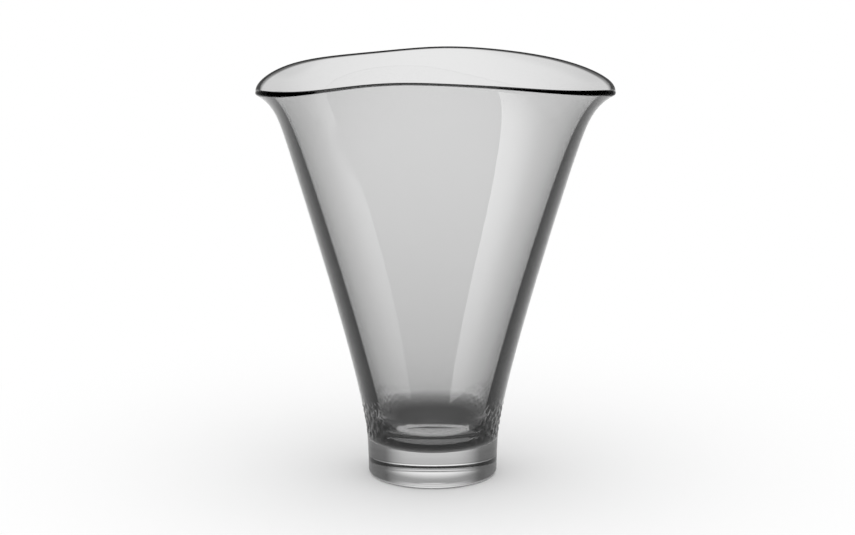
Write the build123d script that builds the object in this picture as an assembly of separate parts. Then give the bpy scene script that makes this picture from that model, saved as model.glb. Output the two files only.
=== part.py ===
from build123d import *
import math
import os

# A hand-made glass fan vase: a smoky bowl, round below and drawn out wide at the mouth, fused on a
# solid clear base. Millimetres, +Z up, origin on the table in the axis of the base. The mouth is
# widest along X. A place on the bowl is given by its rise above the joint and its turn about Z,
# counted from +X.

# Driving sizes of the bowl
vase_height = 298.5      # table to the top of the lip, at the middle of the long sides
mouth_width = 254.3      # over the lip, from end to end
mouth_depth = 131.7      # over the lip, front to back in its middle
end_droop = 20.0         # how far the two ends of the mouth lie below its middle
mouth_lean = 1.85        # how far the mouth is pulled towards +X
lean_rise = 25.0         # height below the lip in which that pull dies away
end_flare = 11.3         # how far the lip turns outwards at the ends
side_flare = 4.0         # how far it turns outwards in the middle of the long sides
flare_rise = 9.0         # height below the lip in which the flare dies away
end_tuck = 5.7           # how far the ends are drawn in above the joint
side_tuck = 1.2          # the same for the long sides
tuck_rise = 37.0         # height above the joint in which the side straightens
lip_wave = 4.5           # swing of the lip's waves in and out
lip_ripple = 0.25        # swing of the lip's small ripples up and down
wave_rise = 60.0         # height below the lip in which waves and ripples die away
lip_wall = 2.0           # glass at the lip, in the middle of the long sides
low_wall = 4.2           # glass at the foot of the long sides
end_wall = 4.6           # extra glass in the wall at the two ends
heel_wall = 5.0          # extra glass where the wall meets the joint
heel_rise = 14.0         # height above the joint in which it dies away
lip_end_wall = 2.3       # extra glass in the lip at the two ends
bulge_diameter = 80.0    # round bulge under the bowl, set into the base
bulge_depth = 2.2        # depth of that bulge below the joint's edge
floor_thickness = 3.2    # glass of the bowl under the middle of its inside floor
floor_diameter = 46.0    # flat part of the inside floor
corner_rise = 22.0       # height of the rounded inside corner

# Driving sizes of the base
joint_diameter = 94.2    # edge of the fused joint between base and bowl
base_height = 27.3       # table to that edge
foot_diameter = 92.4     # upright side of the base
edge_round = 3.0         # rounding of the bottom edge
punt_diameter = 52.0     # shallow hollow underneath
punt_depth = 1.2

# Shares and counts, chosen by hand
fullness_share = 0.06    # how far the mouth's outline fills out towards a rectangle
end_pinch_share = 0.6    # how far the mouth is pinched together at its two tips
wall_shares = (0.0, 0.05, 0.11, 0.19, 0.3, 0.43, 0.57, 0.7, 0.81, 0.89, 0.94, 0.97, 0.987, 1.0)
lip_turns = (45.0, 90.0, 135.0)
corner_turns = (12.0, 28.0, 48.0, 69.0, 90.0)
mouth_sides = 4          # the mouth fills out towards this many sides
lip_waves = 5            # waves around the lip
lip_ripples = 9          # ripples around the lip
ring_points = 48
slope_share = 0.0001     # share of the wall's rise over which its slope is taken

lip_radius = lip_wall / 2
joint_radius = joint_diameter / 2
wall_rise = vase_height - lip_radius - base_height
floor_radius = floor_diameter / 2
floor_height = base_height - bulge_depth + floor_thickness
corner_top = floor_height + corner_rise - base_height


def reach(rise, half_mouth, flare, tuck):
    """Half size of the bowl at a rise: a straight fan, drawn in at its foot and flared at its lip."""
    fan = (half_mouth - joint_radius - flare + tuck) * rise / wall_rise
    drawn_in = tuck * (1 - math.exp(-rise / tuck_rise))
    flared = flare * math.exp((rise - wall_rise) / flare_rise)
    return joint_radius + fan - drawn_in + flared


def outside(rise, turn):
    """Point on the outside of the bowl."""
    share = rise / wall_rise
    across = math.cos(turn)
    along = math.sin(turn)
    wide = reach(rise, mouth_width / 2 - lip_radius, end_flare, end_tuck)
    deep = reach(rise, mouth_depth / 2 - lip_radius, side_flare, side_tuck)
    fullness = fullness_share * share
    fill = (1 - fullness * math.cos(mouth_sides * turn)) / (1 - fullness)
    fading = share * math.exp((rise - wall_rise) / wave_rise)
    in_out = fading * lip_wave * math.cos(lip_waves * turn)
    up_down = fading * lip_ripple * math.sin(lip_ripples * turn)
    pinch = 1 - end_pinch_share * share**2 * across**8
    lean = mouth_lean * math.exp((rise - wall_rise) / lean_rise)
    droop = end_droop * share**2 * across**2
    x = wide * fill * across + lean
    y = (deep * fill + in_out) * pinch * along
    return Vector(x, y, base_height + rise - droop + up_down)


def upwards(rise, turn):
    """Unit direction up the outside at a point."""
    step = slope_share * wall_rise
    return (outside(rise + step, turn) - outside(rise - step, turn)).normalized()


def outwards(rise, turn):
    """Unit direction straight out of the glass at a point."""
    step = slope_share * math.pi
    around = outside(rise, turn + step) - outside(rise, turn - step)
    return around.cross(upwards(rise, turn)).normalized()


def wall(rise, turn):
    """Thickness of the glass: most at the foot of the wall, and more at the two ends."""
    share = rise / wall_rise
    side = lip_wall + (low_wall - lip_wall) * (1 - share) ** 2 + heel_wall * math.exp(-rise / heel_rise)
    ends = end_wall * (1 - share**8) * math.cos(turn) ** 6
    tips = lip_end_wall * share**8 * math.cos(turn) ** 2
    return side + ends + tips


def inside(rise, turn):
    """Point on the inside of the bowl's wall, across the glass from outside()."""
    return outside(rise, turn) - outwards(rise, turn) * wall(rise, turn)


def lip(tilt, turn):
    """Point on the fire-polished lip, a half round from the outside (0) to the inside (pi)."""
    radius = wall(wall_rise, turn) / 2
    middle = (outside(wall_rise, turn) + inside(wall_rise, turn)) * 0.5
    sideways = outwards(wall_rise, turn) * math.cos(tilt)
    return middle + (sideways + upwards(wall_rise, turn) * math.sin(tilt)) * radius


def corner(tilt, turn):
    """Point on the rounded inside corner, from the wall (0) to the flat floor (pi / 2)."""
    side = inside(corner_top, turn)
    flat = Vector(floor_radius * math.cos(turn), floor_radius * math.sin(turn), floor_height)
    level = flat + (side - flat) * math.cos(tilt)
    height = flat.Z + (side.Z - flat.Z) * (1 - math.sin(tilt))
    return Vector(level.X, level.Y, height)


def ring(place, height):
    """Closed smooth curve through the points that place() gives around the vase at one height."""
    shares = [number / ring_points for number in range(ring_points + 1)]
    points = [place(height, math.tau * share) for share in shares[:-1]]
    return Wire([Edge.make_spline(points, periodic=True, parameters=shares)])


def make_bulge():
    """Round bulge under the bowl: a ball's cap, lowest in its middle."""
    half = bulge_diameter / 2
    outline = [
        TangentArc((0, base_height - bulge_depth), (half, base_height), tangent=(1, 0)),
        Line((half, base_height), (0, base_height)),
        Line((0, base_height), (0, base_height - bulge_depth)),
    ]
    return revolve(Plane.XZ * make_face(outline), Axis.Z)


def make_bowl():
    """Smoky glass bowl: outside, lip, inside and rounded corner, closed by its joint and its floor,
    and standing on its bulge."""
    rises = [corner_top + share * (wall_rise - corner_top) for share in reversed(wall_shares)]
    going_up = [ring(outside, share * wall_rise) for share in wall_shares]
    going_down = [ring(inside, rise) for rise in rises]
    half_round = [ring(lip, math.radians(tilt)) for tilt in lip_turns]
    over_lip = [going_up[-1], *half_round, going_down[0]]
    to_floor = [going_down[-1], *(ring(corner, math.radians(tilt)) for tilt in corner_turns)]
    skins = [Shell.make_loft(rings).face() for rings in (going_up, over_lip, going_down, to_floor)]
    shell = Shell([Face(going_up[0]), *skins, Face(to_floor[-1])])
    return Solid(shell) + make_bulge()


def make_base():
    """Clear solid glass base: upright side, rounded bottom edge, standing ring, shallow hollow underneath,
    and a dish on top that takes the bowl's bulge."""
    foot_radius = foot_diameter / 2
    punt_radius = punt_diameter / 2
    ring_edge = foot_radius - edge_round
    outline = [
        TangentArc((0, punt_depth), (punt_radius, 0), tangent=(1, 0)),
        Line((punt_radius, 0), (ring_edge, 0)),
        TangentArc((ring_edge, 0), (foot_radius, edge_round), tangent=(1, 0)),
        TangentArc((foot_radius, edge_round), (joint_radius, base_height), tangent=(0, 1)),
        Line((joint_radius, base_height), (0, base_height)),
        Line((0, base_height), (0, punt_depth)),
    ]
    return revolve(Plane.XZ * make_face(outline), Axis.Z) - make_bulge()


os.makedirs("parts", exist_ok=True)
for name, shape in {"bowl": make_bowl(), "base": make_base()}.items():
    export_step(shape, f"parts/{name}.step")
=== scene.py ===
import math

import bpy
import numpy as np
from bpy.props import FloatProperty, FloatVectorProperty, IntProperty, PointerProperty
from bpy.types import Operator, Panel, PropertyGroup
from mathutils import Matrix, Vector


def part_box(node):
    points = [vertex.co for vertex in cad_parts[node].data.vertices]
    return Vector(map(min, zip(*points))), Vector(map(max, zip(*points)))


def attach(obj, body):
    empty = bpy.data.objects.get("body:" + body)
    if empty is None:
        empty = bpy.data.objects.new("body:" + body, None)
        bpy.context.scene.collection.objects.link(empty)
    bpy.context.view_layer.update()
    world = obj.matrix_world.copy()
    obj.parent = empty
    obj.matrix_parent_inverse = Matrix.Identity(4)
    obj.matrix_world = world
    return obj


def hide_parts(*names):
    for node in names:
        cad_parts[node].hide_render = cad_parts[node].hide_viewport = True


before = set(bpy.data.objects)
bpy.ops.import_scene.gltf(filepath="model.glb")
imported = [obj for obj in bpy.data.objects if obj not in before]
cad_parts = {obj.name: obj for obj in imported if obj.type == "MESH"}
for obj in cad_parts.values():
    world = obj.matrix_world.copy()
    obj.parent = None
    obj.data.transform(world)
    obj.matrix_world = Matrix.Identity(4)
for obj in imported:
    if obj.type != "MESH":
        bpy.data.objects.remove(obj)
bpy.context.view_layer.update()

bl_info = {
    "name": "Glass Fan Vase",
    "version": (1, 0, 0),
    "blender": (4, 5, 0),
    "location": "3D View > Sidebar > Fan Vase",
    "description": "A smoky glass bowl, fanned out to a wide wavy mouth, fused on a heavy clear base",
    "category": "Add Mesh",
}

# Box of the solids, and height and radius of the edge of the round, dished joint between the two pieces
JOINT_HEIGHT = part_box("base")[1].z
JOINT_RADIUS = (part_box("base")[1].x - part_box("base")[0].x) / 2

# Counts around the mouth: sides that it fills out towards, waves in and out, and ripples up and down
MOUTH_SIDES = 4
LIP_WAVES = 5
LIP_RIPPLES = 9

# Small steps, in metres and radians, over which the slope of the outside is taken
RISE_STEP = 1e-5
TURN_STEP = 1e-4

# Waves that make up the chill marks: how many go around the vase, and how far each slants
DENT_COUNTS = (59, 39, 30, 5, 33, 46)
DENT_SLANTS = (0.0, 0.44, 1.07, -0.77, -0.79, -0.35)

# How far the mesh columns crowd towards the two ends of the mouth
CROWDING = 0.35

# Mesh rows of the bowl, and the rings of its flat floor as shares of the floor's edge
HEEL_ROWS = 75
WALL_ROWS = 81
LIP_ROWS = 17
INSIDE_ROWS = 90
CORNER_ROWS = 48
FLOOR_SHARES = (0.8, 0.6, 0.4, 0.2, 0.08)

# Mesh rows of the joint and the base, and shares of the radius at which rows begin around a middle point
BULGE_ROWS = 14
BULGE_START = 0.05
HOLLOW_ROWS = 30
HOLLOW_START = 0.04
STAND_ROWS = 10
EDGE_ROWS = 24
SIDE_ROWS = 40

# Faces of glass that light crosses on its way through the base alone, and through both walls of the bowl
BASE_FACES = 2
BOWL_FACES = 4

# Mesh of a light panel, and the shares of its length at which it has its full light and begins to fade
PANEL_COLUMNS = 13
PANEL_ROWS = 13
PANEL_FULL = 0.5
PANEL_FADE = 0.8

# Light panels: far end in metres from the axis, turn of the bright edge at its near and far end and angle
# of the fade in degrees, and light
PANELS = {
    "right panel": {"far": 0.9, "near_turn": 19.0, "far_turn": 28.0, "fade": 40.0, "glow": 4.4},
    "left panel": {"far": 0.65, "near_turn": -25.0, "far_turn": -25.0, "fade": -33.0, "glow": 2.5},
}

# Camera: width of the sensor in millimetres, and how far it sees in metres
SENSOR_WIDTH = 36.0
SIGHT = 100.0


def length(name, description, default):
    """Property for a length, in metres."""
    return FloatProperty(name=name, description=description, default=default, unit="LENGTH")


def factor(name, description, default):
    """Property for a share of one."""
    return FloatProperty(name=name, description=description, default=default, subtype="FACTOR")


def amount(name, description, default):
    """Property for a plain number."""
    return FloatProperty(name=name, description=description, default=default)


def colour(name, description, default):
    """Property for a colour."""
    return FloatVectorProperty(name=name, description=description, default=default, subtype="COLOR")


def whole_number(name, description, default):
    """Property for a whole number."""
    return IntProperty(name=name, description=description, default=default)


class FanBowlSizes(PropertyGroup):
    """Sizes of the smoky bowl, in metres. The mouth is widest along X."""

    vase_height: length("Vase Height", "Table to the top of the lip in its middle", 0.2985)
    mouth_width: length("Mouth Width", "Over the lip, from end to end", 0.2543)
    mouth_depth: length("Mouth Depth", "Over the lip, front to back in its middle", 0.1317)
    end_droop: length("End Droop", "How far the two ends of the mouth lie below its middle", 0.020)
    mouth_lean: length("Mouth Lean", "How far the mouth is pulled towards +X", 0.00185)
    lean_rise: length("Lean Rise", "Height below the lip in which that pull dies away", 0.025)
    end_flare: length("End Flare", "How far the lip turns outwards at the ends", 0.0113)
    side_flare: length("Side Flare", "How far the lip turns outwards at the long sides", 0.0040)
    flare_rise: length("Flare Rise", "Height below the lip in which the flare dies away", 0.0090)
    end_tuck: length("End Tuck", "How far the ends are drawn in above the joint", 0.0057)
    side_tuck: length("Side Tuck", "How far the long sides are drawn in above the joint", 0.0012)
    tuck_rise: length("Tuck Rise", "Height above the joint in which the side straightens", 0.037)
    lip_wave: length("Lip Wave", "Swing of the lip's waves in and out", 0.0045)
    lip_ripple: length("Lip Ripple", "Swing of the lip's small ripples up and down", 0.00025)
    wave_rise: length("Wave Rise", "Height below the lip in which waves and ripples die away", 0.06)
    lip_wall: length("Lip Wall", "Glass at the lip, in the middle of the long sides", 0.0020)
    low_wall: length("Low Wall", "Glass at the foot of the long sides", 0.0042)
    end_wall: length("End Wall", "Extra glass in the wall at the two ends", 0.0046)
    heel_wall: length("Heel Wall", "Extra glass where the wall meets the joint", 0.005)
    heel_rise: length("Heel Rise", "Height above the joint in which that glass dies away", 0.014)
    lip_end_wall: length("Lip End Wall", "Extra glass in the lip at the two ends", 0.0023)
    bulge_diameter: length("Bulge Diameter", "Round bulge under the bowl, set into the base", 0.080)
    bulge_depth: length("Bulge Depth", "Depth of that bulge below the joint's edge", 0.0022)
    floor_thickness: length("Floor Thickness", "Glass under the middle of the inside floor", 0.0032)
    floor_diameter: length("Floor Diameter", "Flat part of the inside floor", 0.046)
    corner_rise: length("Corner Rise", "Height of the rounded inside corner", 0.022)
    fullness: factor("Fullness", "How far the mouth's outline fills out towards a rectangle", 0.06)
    end_pinch: factor("End Pinch", "How far the mouth is pinched together at its two tips", 0.6)
    dent_depth: length("Dent Depth", "Depth of the chill marks low on the two ends", 0.0009)
    dent_size: length("Dent Size", "Height of one chill mark", 0.0056)
    dent_top: length("Dent Top", "Height above the joint in which the chill marks fade", 0.036)
    around: whole_number("Around", "Mesh columns around the vase", 256)


class ClearBaseSizes(PropertyGroup):
    """Sizes of the clear base, in metres."""

    foot_diameter: length("Foot Diameter", "Upright side of the base", 0.0924)
    edge_round: length("Edge Round", "Rounding of the bottom edge", 0.003)
    punt_diameter: length("Hollow Diameter", "Shallow hollow underneath", 0.052)
    punt_depth: length("Hollow Depth", "Depth of the hollow underneath", 0.0012)
    around: whole_number("Around", "Mesh columns around the base", 256)


class GlassLooks(PropertyGroup):
    """Finish of the two glasses, with painted shade on the lip and on the upright side of the base."""

    smoke: amount("Smoke", "Light taken by the smoky glass, per metre", 215.0)
    smoke_colour: colour("Smoke Colour", "Tint of the light that the smoke leaves", (0.5, 0.5, 0.5))
    ior: amount("Refraction", "Index of refraction of both glasses", 1.5)
    # Painted shade on the lip: a dark tint in the glass's colour over the lip and a little below it
    lip_shade_fade: length("Lip Fade", "Height below the lip in which its darkness ends", 0.0006)
    lip_shade_end_band: length("Lip End Band", "How much further the dark lip reaches down at its ends", 0.0010)
    lip_shade_end_ease: factor("Lip End Ease", "Share of its darkness that the lip lacks at its two ends", 0.12)
    lip_shade_tone: factor("Lip Tone", "Light let through the dark lip", 0.02)
    # Painted shade on the upright side of the base: its colour darkens where the side turns away from the
    # eye
    side_shade_tone: factor("Turned Tone", "Light let through the base where its side turns fully away", 0.1)
    side_shade_start: factor("Turned Start", "Share of turning away at which the base begins to darken", 0.03)
    side_shade_end: factor("Turned End", "Share of turning away at which it is darkest", 0.30)
    turn_tip: amount("Turned Tip", "How far the side's normal is tipped upwards to judge its turning", 0.45)
    side_end: factor("Side End", "Upward share of the normal up to which a face counts as side", 0.3)
    level_start: factor("Level Start", "Upward share of the normal from which a face counts as level", 0.7)
    joint_gap: length("Joint Gap", "Clearance that keeps the two fused faces apart in the mesh", 0.00004)


class StageLooks(PropertyGroup):
    """Floor, light, light panels and camera."""

    distance: length("Camera Distance", "Camera to the point it looks at", 2.967)
    elevation: FloatProperty(
        name="Camera Elevation", description="Angle above the table",
        default=math.radians(14.25), subtype="ANGLE"
    )
    target: FloatVectorProperty(
        name="Camera Target", description="Point in the middle of the picture",
        default=(-0.00375, 0.0, 0.1513), subtype="XYZ"
    )
    lens: amount("Lens", "Focal length in millimetres", 175.0)
    floor_width: length("Floor Width", "Side of the square floor", 12.0)
    floor_drop: length("Floor Drop", "Clearance between the vase and the floor", 2e-4)
    floor_colour: colour("Floor Colour", "Colour of the floor where it is lit", (0.9, 0.9, 0.9))
    shadow_start: length("Shadow Start", "Radius within which the floor is lit by the light alone", 0.07)
    shadow_end: length("Shadow End", "From here on it is plain white", 0.4)
    shade_tone: factor("Shade Tone", "Tone of the floor close around the base, seen through glass", 0.45)
    deep_tone: factor("Deep Tone", "Share of that tone that is left through both walls of the bowl", 0.2)
    shade_start: length("Shade Start", "Up to here from the axis it has that tone", 0.05)
    shade_end: length("Shade End", "From here on it is white through glass too", 0.2)
    under_start: length("Under Start", "Up to here from the axis the floor under the base is lit", 0.035)
    under_end: length("Under End", "Where that light ends", 0.043)
    overhead_start: factor("Overhead Start", "Upward share of a direction at which the light fades", 0.6)
    overhead_end: factor("Overhead End", "Upward share of a direction at which it is dark", 0.8)
    overhead_tone: factor("Overhead Tone", "Light that is left straight overhead", 0.03)
    floor_light: amount("Floor Light", "Even light on the floor", 1.1)
    panel_near: length("Panel Near", "Axis to the near end of the light panels", 0.205)
    panel_dim: factor("Panel Dim", "Share of light that a panel lacks at its near end", 0.3)


def ease(value, start, end):
    """Smooth step from 0 at start to 1 at end: 3s^2 - 2s^3."""
    share = np.clip((value - start) / (end - start), 0, 1)
    return share**2 * (3 - 2 * share)


def unit(vectors):
    """Vectors scaled to length one."""
    return vectors / np.linalg.norm(vectors, axis=-1, keepdims=True)


def about_axis(radius, turn, height):
    """Points at a radius from Z, a turn about it and a height."""
    return np.stack(np.broadcast_arrays(radius * np.cos(turn), radius * np.sin(turn), height), axis=-1)


def cap(half, depth, radius):
    """Height of a ball's cap above its rim, at a radius: sqrt(b^2 - r^2) - (b - depth), where the ball's
    own radius b is (half^2 + depth^2) / (2 depth)."""
    ball = (half**2 + depth**2) / (2 * depth)
    return np.sqrt(ball**2 - radius**2) - (ball - depth)


def wall_rise(sizes):
    """Height of the outside wall, from the joint to where the lip's half round begins."""
    return sizes.vase_height - sizes.lip_wall / 2 - JOINT_HEIGHT


def floor_height(sizes):
    """Height of the flat inside floor above the table."""
    return JOINT_HEIGHT - sizes.bulge_depth + sizes.floor_thickness


def corner_top(sizes):
    """Rise above the joint at which the rounded inside corner meets the wall."""
    return floor_height(sizes) + sizes.corner_rise - JOINT_HEIGHT


def half_gap():
    """Half of the clearance between the two fused faces."""
    return bpy.context.scene.vase_glass.joint_gap / 2


def reach(sizes, rise, half_mouth, flare, tuck):
    """Half size at a rise above the joint: a straight line from the joint's radius to the mouth, less a
    tuck that grows as 1 - exp(-rise) and plus a flare that grows as exp(rise) towards the lip."""
    whole = wall_rise(sizes)
    fan = (half_mouth - JOINT_RADIUS - flare + tuck) * rise / whole
    drawn_in = tuck * (1 - np.exp(-rise / sizes.tuck_rise))
    return JOINT_RADIUS + fan - drawn_in + flare * np.exp((rise - whole) / sizes.flare_rise)


def outside(sizes, rise, turn):
    """Outside of the bowl: an oval of reach(x) by reach(y), filled out by 1 - k cos 4t and pinched at
    its tips by 1 - k cos to the eighth, with in-and-out waves cos 5t and ripples sin 9t that fade below
    the lip, a lean that fades as exp(rise), and ends that droop as cos squared."""
    whole = wall_rise(sizes)
    share = rise / whole
    half_lip = sizes.lip_wall / 2
    wide = reach(sizes, rise, sizes.mouth_width / 2 - half_lip, sizes.end_flare, sizes.end_tuck)
    deep = reach(sizes, rise, sizes.mouth_depth / 2 - half_lip, sizes.side_flare, sizes.side_tuck)
    fullness = sizes.fullness * share
    fill = (1 - fullness * np.cos(MOUTH_SIDES * turn)) / (1 - fullness)
    fading = share * np.exp((rise - whole) / sizes.wave_rise)
    in_out = fading * sizes.lip_wave * np.cos(LIP_WAVES * turn)
    up_down = fading * sizes.lip_ripple * np.sin(LIP_RIPPLES * turn)
    pinch = 1 - sizes.end_pinch * share**2 * np.cos(turn) ** 8
    lean = sizes.mouth_lean * np.exp((rise - whole) / sizes.lean_rise)
    droop = sizes.end_droop * share**2 * np.cos(turn) ** 2
    x = wide * fill * np.cos(turn) + lean
    y = (deep * fill + in_out) * pinch * np.sin(turn)
    return np.stack(np.broadcast_arrays(x, y, JOINT_HEIGHT + rise - droop + up_down), axis=-1)


def upwards(sizes, rise, turn):
    """Unit direction up the outside, from the difference of two near points."""
    return unit(outside(sizes, rise + RISE_STEP, turn) - outside(sizes, rise - RISE_STEP, turn))


def outwards(sizes, rise, turn):
    """Unit direction straight out of the glass: around crossed with upwards."""
    around = outside(sizes, rise, turn + TURN_STEP) - outside(sizes, rise, turn - TURN_STEP)
    return unit(np.cross(around, upwards(sizes, rise, turn)))


def wall(sizes, rise, turn):
    """Thickness: the lip's, plus a square law towards the foot and a heel that dies away as exp(-rise),
    and more at the two ends, as cos to the sixth in the wall and as cos squared in the lip."""
    share = rise / wall_rise(sizes)
    side = sizes.lip_wall + (sizes.low_wall - sizes.lip_wall) * (1 - share) ** 2
    heel = sizes.heel_wall * np.exp(-rise / sizes.heel_rise)
    ends = sizes.end_wall * (1 - share**8) * np.cos(turn) ** 6
    tips = sizes.lip_end_wall * share**8 * np.cos(turn) ** 2
    return side + heel + ends + tips


def inside(sizes, rise, turn):
    """Inside of the wall: the outside moved inwards, square to the glass, by its thickness."""
    thickness = wall(sizes, rise, turn)[..., None]
    return outside(sizes, rise, turn) - outwards(sizes, rise, turn) * thickness


def lip(sizes, tilt, turn):
    """Fire-polished lip: a half circle across the wall, from the outside (0) to the inside (pi)."""
    top = np.full_like(tilt * turn, wall_rise(sizes))
    level = np.zeros_like(tilt) + turn
    radius = wall(sizes, top, level)[..., None] / 2
    middle = (outside(sizes, top, level) + inside(sizes, top, level)) / 2
    across = outwards(sizes, top, level) * np.cos(tilt)[..., None]
    return middle + (across + upwards(sizes, top, level) * np.sin(tilt)[..., None]) * radius


def floor_ring(sizes, turn):
    """Edge of the flat inside floor, a circle."""
    return about_axis(sizes.floor_diameter / 2, turn, floor_height(sizes))


def corner(sizes, tilt, turn):
    """Rounded inside corner: a quarter ellipse from the wall (0) to the edge of the flat floor (pi / 2)."""
    low = np.full_like(tilt * turn, corner_top(sizes))
    level = np.zeros_like(tilt) + turn
    side = inside(sizes, low, level)
    flat = floor_ring(sizes, level)
    bent = np.stack(np.broadcast_arrays(np.cos(tilt), np.cos(tilt), 1 - np.sin(tilt)), axis=-1)
    return flat + (side - flat) * bent


def bulge(sizes, radius):
    """Height of the joint at a radius: a ball's cap below the joint's edge, and level outside it."""
    half = sizes.bulge_diameter / 2
    return JOINT_HEIGHT - cap(half, sizes.bulge_depth, np.minimum(radius, half))


def dents(sizes, rise, turn):
    """Depth of the chill marks low on the two ends: half deep, more or less by the mean of slanting
    waves, each with its own count around the vase and its own slant. It fades towards the long sides as
    cos squared, and above and below."""
    high = 2 * np.pi * rise / sizes.dent_size
    pairs = zip(DENT_COUNTS, DENT_SLANTS)
    waves = sum(np.sin(count * turn + slant * high + count**2) for count, slant in pairs)
    above = 1 - ease(rise, sizes.dent_top / 2, sizes.dent_top)
    fading = np.cos(turn) ** 2 * ease(rise, 0, sizes.dent_size) * above
    return sizes.dent_depth * fading * np.clip(0.5 + waves / len(DENT_COUNTS), 0, 1)


def columns(count):
    """Turns of the mesh columns, closer together at the two ends of the mouth: u - k sin 2u."""
    even = np.linspace(0, 2 * np.pi, count, endpoint=False)
    return even - CROWDING * np.sin(2 * even)


def joint_rows(sizes, turn, gap):
    """Rows of the joint from its middle to just inside its edge: the bulge, then the level ring, lifted
    by a gap."""
    half = sizes.bulge_diameter / 2
    level = (half + JOINT_RADIUS) / 2
    radius = np.append(np.linspace(BULGE_START, 1, BULGE_ROWS) * half, level)[:, None]
    return about_axis(radius, turn, bulge(sizes, radius) + gap)


def shrink(edge, shares):
    """Copies of a flat ring, each scaled towards its middle by a share."""
    middle = edge.mean(axis=0)
    return middle + (edge - middle)[None] * np.array(shares)[:, None, None]


def bowl_grid(sizes):
    """Rows of points from the middle of the joint out to its edge, up the dented outside, over the lip
    and down to the middle of the floor. Returns the rows, the number of rows of the joint at the start,
    how far every point lies below the lip, at most the height of the wall, and 1 for every point on the
    inside."""
    turn = columns(sizes.around)[None, :]
    whole = wall_rise(sizes)
    low = corner_top(sizes)
    heel = sizes.dent_top
    above_heel = heel + (whole - heel) * np.sin(np.linspace(0, np.pi / 2, WALL_ROWS)[1:])
    up = np.concatenate((np.linspace(0, heel, HEEL_ROWS), above_heel))[:, None]
    over = np.linspace(0, np.pi, LIP_ROWS)[1:-1, None]
    down = low + (whole - low) * np.cos(np.linspace(0, np.pi / 2, INSIDE_ROWS))[:, None]
    bend = np.linspace(0, np.pi / 2, CORNER_ROWS)[1:, None]

    joint = joint_rows(sizes, turn, half_gap())
    dented = outside(sizes, up, turn) - outwards(sizes, up, turn) * dents(sizes, up, turn)[..., None]
    # The lowest row of the outside is the joint's edge, and is lifted with the joint
    dented[0, :, 2] += half_gap()
    lip_rows = lip(sizes, over + 0 * turn, turn)
    inside_rows = inside(sizes, down, turn)
    corner_rows = corner(sizes, bend + 0 * turn, turn)
    floor_rows = shrink(floor_ring(sizes, turn[0]), FLOOR_SHARES)
    rows = np.concatenate((joint, dented, lip_rows, inside_rows, corner_rows, floor_rows))

    before = np.full((len(joint), 1), whole)
    after = np.full((len(corner_rows) + len(floor_rows), 1), whole)
    below_lip = np.concatenate((before, whole - up, 0 * over, whole - down, after))
    inner = (np.arange(len(rows)) >= len(joint) + len(up) + len(over))[:, None]
    return rows, len(joint), below_lip + 0 * turn, inner + 0 * turn


def base_grid(sizes, bowl_sizes):
    """The base's outline, turned about Z: hollow, standing ring, rounded edge, upright side that leans
    out as a square law to the joint, and the joint. Returns the rows, and the number of rows of the
    joint at the end."""
    foot = sizes.foot_diameter / 2
    punt = sizes.punt_diameter / 2
    edge = sizes.edge_round
    dome = np.linspace(HOLLOW_START, 1, HOLLOW_ROWS) * punt
    stand = np.linspace(punt, foot - edge, STAND_ROWS)[1:]
    bend = np.linspace(0, np.pi / 2, EDGE_ROWS)[1:]
    rise = np.linspace(0, 1, SIDE_ROWS)[1:]
    top = JOINT_HEIGHT - half_gap()
    dome_height = cap(punt, sizes.punt_depth, dome)
    side = foot + (JOINT_RADIUS - foot) * rise**2
    side_height = edge + (top - edge) * rise
    radius = np.concatenate((dome, stand, foot - edge * (1 - np.sin(bend)), side))[:, None]
    height = np.concatenate((dome_height, 0 * stand, edge * (1 - np.cos(bend)), side_height))[:, None]
    turn = columns(sizes.around)[None, :]
    joint = joint_rows(bowl_sizes, turn, -half_gap())[::-1]
    return np.concatenate((about_axis(radius, turn, height), joint)), len(joint)


def painted_lip_shade(looks, below_lip, inner):
    """Painted shade on the lip: 1 over its half round, falling to 0 in a straight line below it. At the
    ends, as cos to the fourth, it reaches further down on the outside and is a little weaker."""
    ends = np.cos(columns(below_lip.shape[1])) ** 4
    further = ends * (1 - inner) * looks.lip_shade_end_band
    dark = 1 - np.clip((below_lip - further) / looks.lip_shade_fade, 0, 1)
    return dark * (1 - looks.lip_shade_end_ease * ends)


def closed_mesh(name, rows, fused_rows):
    """Closed mesh over a grid of rows: quads between neighbouring rows, and a fan from a middle point
    at each end. Faces whose rows lie in fused_rows are flat and marked 1 in the attribute "fused", the
    rest are smooth."""
    count, around = rows.shape[:2]
    points = np.concatenate((rows.reshape(-1, 3), rows[:1].mean(axis=1), rows[-1:].mean(axis=1)))
    grid = np.arange(count * around).reshape(count, around)
    after = np.roll(grid, -1, axis=1)
    quads = np.stack((grid[:-1], after[:-1], after[1:], grid[1:]), axis=-1)
    first = np.stack((after[0], grid[0], np.full(around, count * around)), axis=-1)
    last = np.stack((grid[-1], after[-1], np.full(around, count * around + 1)), axis=-1)
    mesh = bpy.data.meshes.new(name)
    mesh.from_pydata(points, [], quads.reshape(-1, 4).tolist() + first.tolist() + last.tolist())
    fused = np.zeros((count - 1, around), bool)
    fused[fused_rows] = True
    fused = np.concatenate((fused.ravel(), np.full(around, fused[0, 0]), np.full(around, fused[-1, 0])))
    mesh.polygons.foreach_set("use_smooth", ~fused)
    mesh.attributes.new("fused", "FLOAT", "FACE").data.foreach_set("value", fused.astype(np.float32))
    mark_sharp(mesh, fused)
    mesh.update()
    mesh.validate()
    return mesh


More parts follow.
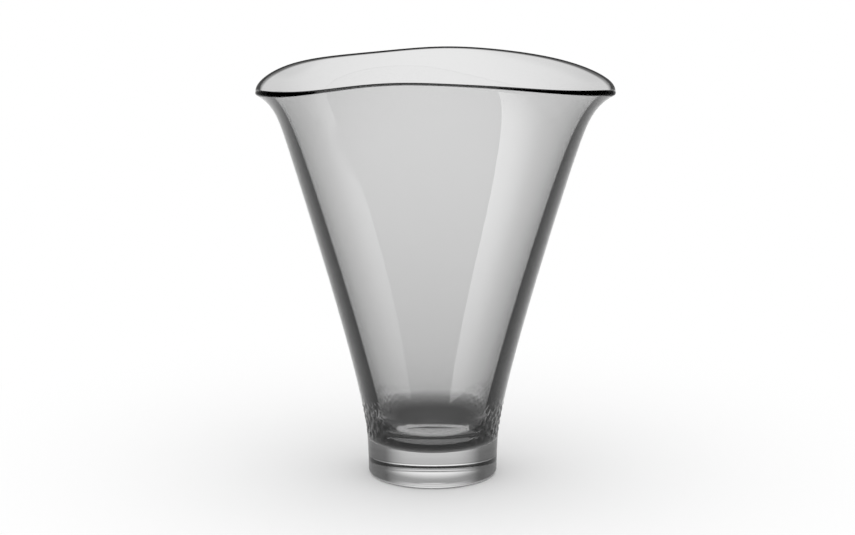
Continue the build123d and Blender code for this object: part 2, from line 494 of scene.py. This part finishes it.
def mark_sharp(mesh, fused):
    """Sharp edges where the fused face meets the round side: edges used by faces of both kinds."""
    corner_counts = np.empty(len(mesh.polygons), np.int32)
    mesh.polygons.foreach_get("loop_total", corner_counts)
    face_of = np.repeat(np.arange(len(fused)), corner_counts)
    edge_of = np.empty(len(mesh.loops), np.int32)
    mesh.loops.foreach_get("edge_index", edge_of)
    flat_uses = np.bincount(edge_of, weights=fused[face_of], minlength=len(mesh.edges))
    uses = np.bincount(edge_of, minlength=len(mesh.edges))
    sharp = (flat_uses > 0) & (flat_uses < uses)
    mesh.attributes.new("sharp_edge", "BOOLEAN", "EDGE").data.foreach_set("value", sharp)


def mark_points(mesh, name, values):
    """Writes one number for every point of the mesh to a point attribute."""
    mesh.attributes.new(name, "FLOAT", "POINT").data.foreach_set("value", values.astype(np.float32))


def add_piece(mesh, node, material):
    """Puts a mesh into the scene as the piece that stands for a CAD node."""
    piece = bpy.data.objects.new(mesh.name, mesh)
    bpy.context.scene.collection.objects.link(piece)
    mesh.materials.append(material)
    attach(piece, "root")
    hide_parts(node)


def set_inputs(node, values):
    """Sets a node's input sockets, given by name or number."""
    for socket, value in values.items():
        node.inputs[socket].default_value = value


def add_node(tree, kind, values=None, **settings):
    """New shader node, with values on its input sockets and its other settings."""
    node = tree.nodes.new("ShaderNode" + kind)
    for name, value in settings.items():
        setattr(node, name, value)
    set_inputs(node, values or {})
    return node


def link_inputs(tree, node, sources):
    """Links outputs to a node's input sockets, given by name or number."""
    for socket, source in sources.items():
        tree.links.new(source, node.inputs[socket])


def ramp(tree, source, low, high, start, end, kind="SMOOTHSTEP"):
    """Output that goes from start to end while the source output goes from low to high."""
    values = {"From Min": low, "From Max": high, "To Min": start, "To Max": end}
    node = add_node(tree, "MapRange", values, interpolation_type=kind)
    link_inputs(tree, node, {"Value": source})
    return node.outputs["Result"]


def greatest(tree, first, second):
    """Output with the greater of two outputs."""
    node = add_node(tree, "Math", operation="MAXIMUM")
    link_inputs(tree, node, {0: first, 1: second})
    return node.outputs["Value"]


def product(tree, first, second):
    """Output with the product of two outputs."""
    node = add_node(tree, "Math", operation="MULTIPLY")
    link_inputs(tree, node, {0: first, 1: second})
    return node.outputs["Value"]


def mark(tree, name):
    """Output with a number that the mesh holds as an attribute."""
    return add_node(tree, "Attribute", attribute_name=name).outputs["Fac"]


def show_mix(tree, share, first, second):
    """Surface that goes from the first shader to the second while the share output goes from 0 to 1."""
    node = add_node(tree, "MixShader")
    link_inputs(tree, node, {0: share, 1: first, 2: second})
    link_inputs(tree, tree.nodes["Material Output"], {"Surface": node.outputs["Shader"]})


def new_material(name):
    """New material with nodes, and its node tree."""
    material = bpy.data.materials.new(name)
    material.use_nodes = True
    return material, material.node_tree


def glass(name, looks):
    """New polished glass, its node tree and its shader."""
    material, tree = new_material(name)
    shader = tree.nodes["Principled BSDF"]
    white = (1, 1, 1, 1)
    set_inputs(shader, {"Base Color": white, "Roughness": 0, "IOR": looks.ior, "Transmission Weight": 1})
    return material, tree, shader


def bend_light(tree, shader, looks, straight):
    """Index of refraction that falls to 1 where the straight output is 1: light goes straight on there."""
    link_inputs(tree, shader, {"IOR": ramp(tree, straight, 0, 1, looks.ior, 1, "LINEAR")})


def smoky_glass(looks):
    """Grey glass that takes more light the further the light goes through it, with painted shade on the
    lip: its colour turns dark there. Light goes straight on through the lip, and through the fused face
    into the clear glass."""
    material, tree, shader = glass("smoky glass", looks)
    # Painted shade of the lip, which the mesh keeps in its attribute "lip"
    dark = mark(tree, "lip")
    bend_light(tree, shader, looks, greatest(tree, mark(tree, "fused"), dark))
    link_inputs(tree, shader, {"Base Color": ramp(tree, dark, 0, 1, 1, looks.lip_shade_tone, "LINEAR")})
    smoke = add_node(tree, "VolumeAbsorption", {"Color": (*looks.smoke_colour, 1), "Density": looks.smoke})
    link_inputs(tree, tree.nodes["Material Output"], {"Volume": smoke.outputs["Volume"]})
    return material


def clear_glass(looks):
    """Clear glass with painted shade on its upright side, whose colour darkens where it turns away from
    the eye. The side is judged by its normal tipped upwards, so that it stays clear when it is seen from
    above, and level faces stay clear too."""
    material, tree, shader = glass("clear glass", looks)
    bend_light(tree, shader, looks, mark(tree, "fused"))
    normal = add_node(tree, "NewGeometry").outputs["Normal"]
    tipped = add_node(tree, "VectorMath", {1: (0, 0, looks.turn_tip)}, operation="ADD")
    link_inputs(tree, tipped, {0: normal})
    unit_length = add_node(tree, "VectorMath", operation="NORMALIZE")
    link_inputs(tree, unit_length, {0: tipped.outputs["Vector"]})
    turned = add_node(tree, "LayerWeight")
    link_inputs(tree, turned, {"Normal": unit_length.outputs["Vector"]})
    # Painted shade: the side's colour darkens from white as it turns away from the eye, and level faces
    # stay white
    tone = ramp(tree, turned.outputs["Facing"], looks.side_shade_start, looks.side_shade_end, 1, looks.side_shade_tone)
    parts = add_node(tree, "SeparateXYZ")
    link_inputs(tree, parts, {"Vector": normal})
    upward = add_node(tree, "Math", operation="ABSOLUTE")
    link_inputs(tree, upward, {0: parts.outputs["Z"]})
    level = ramp(tree, upward.outputs["Value"], looks.side_end, looks.level_start, 0, 1)
    link_inputs(tree, shader, {"Base Color": greatest(tree, tone, level)})
    return material


def floor_white(looks):
    """White that is its own background: away from the vase it shows plain white, and near the vase it
    keeps the vase's shadow. Seen through glass, the shadow is deeper close around the base, deepest
    through both walls of the bowl, and the floor is lit again under the base."""
    material, tree = new_material("white floor")
    shader = tree.nodes["Principled BSDF"]
    set_inputs(shader, {"Base Color": (*looks.floor_colour, 1), "Roughness": 1, "Specular IOR Level": 0})
    distance = add_node(tree, "VectorMath", operation="LENGTH")
    link_inputs(tree, distance, {0: add_node(tree, "TexCoord").outputs["Object"]})
    away = distance.outputs["Value"]
    path = add_node(tree, "LightPath").outputs
    camera = path["Is Camera Ray"]
    through = greatest(tree, path["Is Glossy Ray"], path["Is Transmission Ray"])
    shade = ramp(tree, away, looks.shade_start, looks.shade_end, looks.shade_tone, 1)
    deep = ramp(tree, away, looks.shade_start, looks.shade_end, looks.deep_tone, 1)
    shallow = ramp(tree, path["Transmission Depth"], BASE_FACES, BOWL_FACES, 1, 0)
    shade = product(tree, shade, greatest(tree, shallow, deep))
    under = ramp(tree, away, looks.under_end, looks.under_start, 0, 1)
    glow = add_node(tree, "Emission")
    link_inputs(tree, glow, {"Strength": greatest(tree, greatest(tree, shade, under), camera)})
    far = ramp(tree, away, looks.shadow_start, looks.shadow_end, 0, 1)
    plain = greatest(tree, product(tree, camera, far), through)
    show_mix(tree, plain, shader.outputs["BSDF"], glow.outputs["Emission"])
    return material


def panel_light(name, glow):
    """Light that is as strong as the mesh's attribute "light" says, and clear where that is 0."""
    material, tree = new_material(name)
    clear = add_node(tree, "BsdfTransparent").outputs["BSDF"]
    lit = add_node(tree, "Emission", {"Strength": glow}).outputs["Emission"]
    show_mix(tree, mark(tree, "light"), clear, lit)
    return material


def add_stage(name, points, faces, material):
    """Puts a mesh of the stage into the scene."""
    mesh = bpy.data.meshes.new(name)
    mesh.from_pydata(points, [], faces)
    mesh.materials.append(material)
    stage = bpy.data.objects.new(name, mesh)
    bpy.context.scene.collection.objects.link(stage)
    return stage


def add_floor(looks):
    """Square floor just under the vase."""
    half = looks.floor_width / 2
    corners = [(-half, -half), (half, -half), (half, half), (-half, half)]
    points = [(x, y, -looks.floor_drop) for x, y in corners]
    add_stage("floor", points, [range(len(points))], floor_white(looks))


def add_light(looks):
    """White light from all around, as the glass shows it, which turns dark overhead, and even light on
    the floor."""
    world = bpy.data.worlds.new("studio")
    world.use_nodes = True
    tree = world.node_tree
    direction = add_node(tree, "SeparateXYZ")
    link_inputs(tree, direction, {"Vector": add_node(tree, "TexCoord").outputs["Generated"]})
    up = direction.outputs["Z"]
    shown = ramp(tree, up, looks.overhead_start, looks.overhead_end, 1, looks.overhead_tone)
    # Inputs of a mix of two numbers: 0 is the share of the second, 2 the first and 3 the second number
    strength = add_node(tree, "Mix", {3: looks.floor_light})
    link_inputs(tree, strength, {0: add_node(tree, "LightPath").outputs["Diffuse Depth"], 2: shown})
    background = tree.nodes["Background"]
    set_inputs(background, {"Color": (1, 1, 1, 1)})
    link_inputs(tree, background, {"Strength": strength.outputs[0]})
    bpy.context.scene.world = world


def add_panel(looks, name, far, near_turn, far_turn, fade, glow):
    """Light panel that lies in front of the vase and shows only as a reflection in its wall: a strip
    along the radius, brightest along the edge that runs from near_turn to far_turn, and fading to
    nothing over the fade angle. Angles are in degrees from -Y towards +X."""
    across = np.linspace(0, 1, PANEL_COLUMNS)[None, :]
    along = np.linspace(0, 1, PANEL_ROWS)[:, None]
    angle = np.radians(near_turn + (far_turn - near_turn) * along + fade * across)
    radius = looks.panel_near + (far - looks.panel_near) * along
    points = np.stack(np.broadcast_arrays(radius * np.sin(angle), -radius * np.cos(angle), 0), axis=-1)
    near_light = 1 - looks.panel_dim * (1 - ease(along, 0, PANEL_FULL))
    light = (1 - ease(across, 0, 1)) * near_light * (1 - ease(along, PANEL_FADE, 1))
    grid = np.arange(light.size).reshape(light.shape)
    quads = np.stack((grid[:-1, :-1], grid[1:, :-1], grid[1:, 1:], grid[:-1, 1:]), axis=-1)
    panel = add_stage(name, points.reshape(-1, 3), quads.reshape(-1, 4).tolist(), panel_light(name, glow))
    mark_points(panel.data, "light", light.ravel())
    panel.visible_camera = False
    panel.visible_diffuse = False
    panel.visible_transmission = False
    panel.visible_shadow = False


def add_camera(looks):
    """Camera on the -Y side, looking at the target from its distance and elevation."""
    camera = bpy.data.objects.new("camera", bpy.data.cameras.new("camera"))
    bpy.context.scene.collection.objects.link(camera)
    back = Vector((0, -math.cos(looks.elevation), math.sin(looks.elevation)))
    camera.location = Vector(looks.target) + back * looks.distance
    camera.rotation_euler = (math.pi / 2 - looks.elevation, 0, 0)
    camera.data.lens = looks.lens
    camera.data.sensor_width = SENSOR_WIDTH
    camera.data.clip_end = SIGHT
    bpy.context.scene.camera = camera


class VASE_OT_bowl(Operator):
    """Makes the smoky bowl"""

    bl_idname = "vase.bowl"
    bl_label = "Make Bowl"

    def execute(self, context):
        looks = context.scene.vase_glass
        rows, joint, below_lip, inner = bowl_grid(context.scene.vase_bowl)
        mesh = closed_mesh("smoky_bowl", rows, slice(0, joint))
        # Painted shade on the lip, kept as the point attribute "lip", with none on the two middle points
        middle_points = (0, 0)
        mark_points(mesh, "lip", np.append(painted_lip_shade(looks, below_lip, inner), middle_points))
        add_piece(mesh, "bowl", smoky_glass(looks))
        return {"FINISHED"}


class VASE_OT_base(Operator):
    """Makes the clear base"""

    bl_idname = "vase.base"
    bl_label = "Make Base"

    def execute(self, context):
        rows, joint = base_grid(context.scene.vase_base, context.scene.vase_bowl)
        mesh = closed_mesh("clear_base", rows, slice(len(rows) - 1 - joint, None))
        add_piece(mesh, "base", clear_glass(context.scene.vase_glass))
        return {"FINISHED"}


class VASE_OT_stage(Operator):
    """Makes the floor, the light, its panels and the camera"""

    bl_idname = "vase.stage"
    bl_label = "Make Stage"

    def execute(self, context):
        looks = context.scene.vase_stage
        add_floor(looks)
        add_light(looks)
        for name, values in PANELS.items():
            add_panel(looks, name, **values)
        add_camera(looks)
        context.scene.view_settings.view_transform = "Standard"
        return {"FINISHED"}


class VASE_PT_panel(Panel):
    """Lists the vase's operators"""

    bl_label = "Fan Vase"
    bl_idname = "VASE_PT_panel"
    bl_space_type = "VIEW_3D"
    bl_region_type = "UI"
    bl_category = "Fan Vase"

    def draw(self, context):
        for step in (VASE_OT_bowl, VASE_OT_base, VASE_OT_stage):
            self.layout.operator(step.bl_idname)


CLASSES = (
    FanBowlSizes, ClearBaseSizes, GlassLooks, StageLooks,
    VASE_OT_bowl, VASE_OT_base, VASE_OT_stage, VASE_PT_panel,
)


def register():
    """Registers the classes, and gives the scene its sizes and looks."""
    for item in CLASSES:
        bpy.utils.register_class(item)
    bpy.types.Scene.vase_bowl = PointerProperty(type=FanBowlSizes)
    bpy.types.Scene.vase_base = PointerProperty(type=ClearBaseSizes)
    bpy.types.Scene.vase_glass = PointerProperty(type=GlassLooks)
    bpy.types.Scene.vase_stage = PointerProperty(type=StageLooks)


def unregister():
    """Takes back what register() did."""
    for name in ("vase_bowl", "vase_base", "vase_glass", "vase_stage"):
        delattr(bpy.types.Scene, name)
    for item in reversed(CLASSES):
        bpy.utils.unregister_class(item)


def main():
    """Makes the vase and its stage."""
    register()
    bpy.ops.vase.bowl()
    bpy.ops.vase.base()
    bpy.ops.vase.stage()


if __name__ == "__main__":
    main()
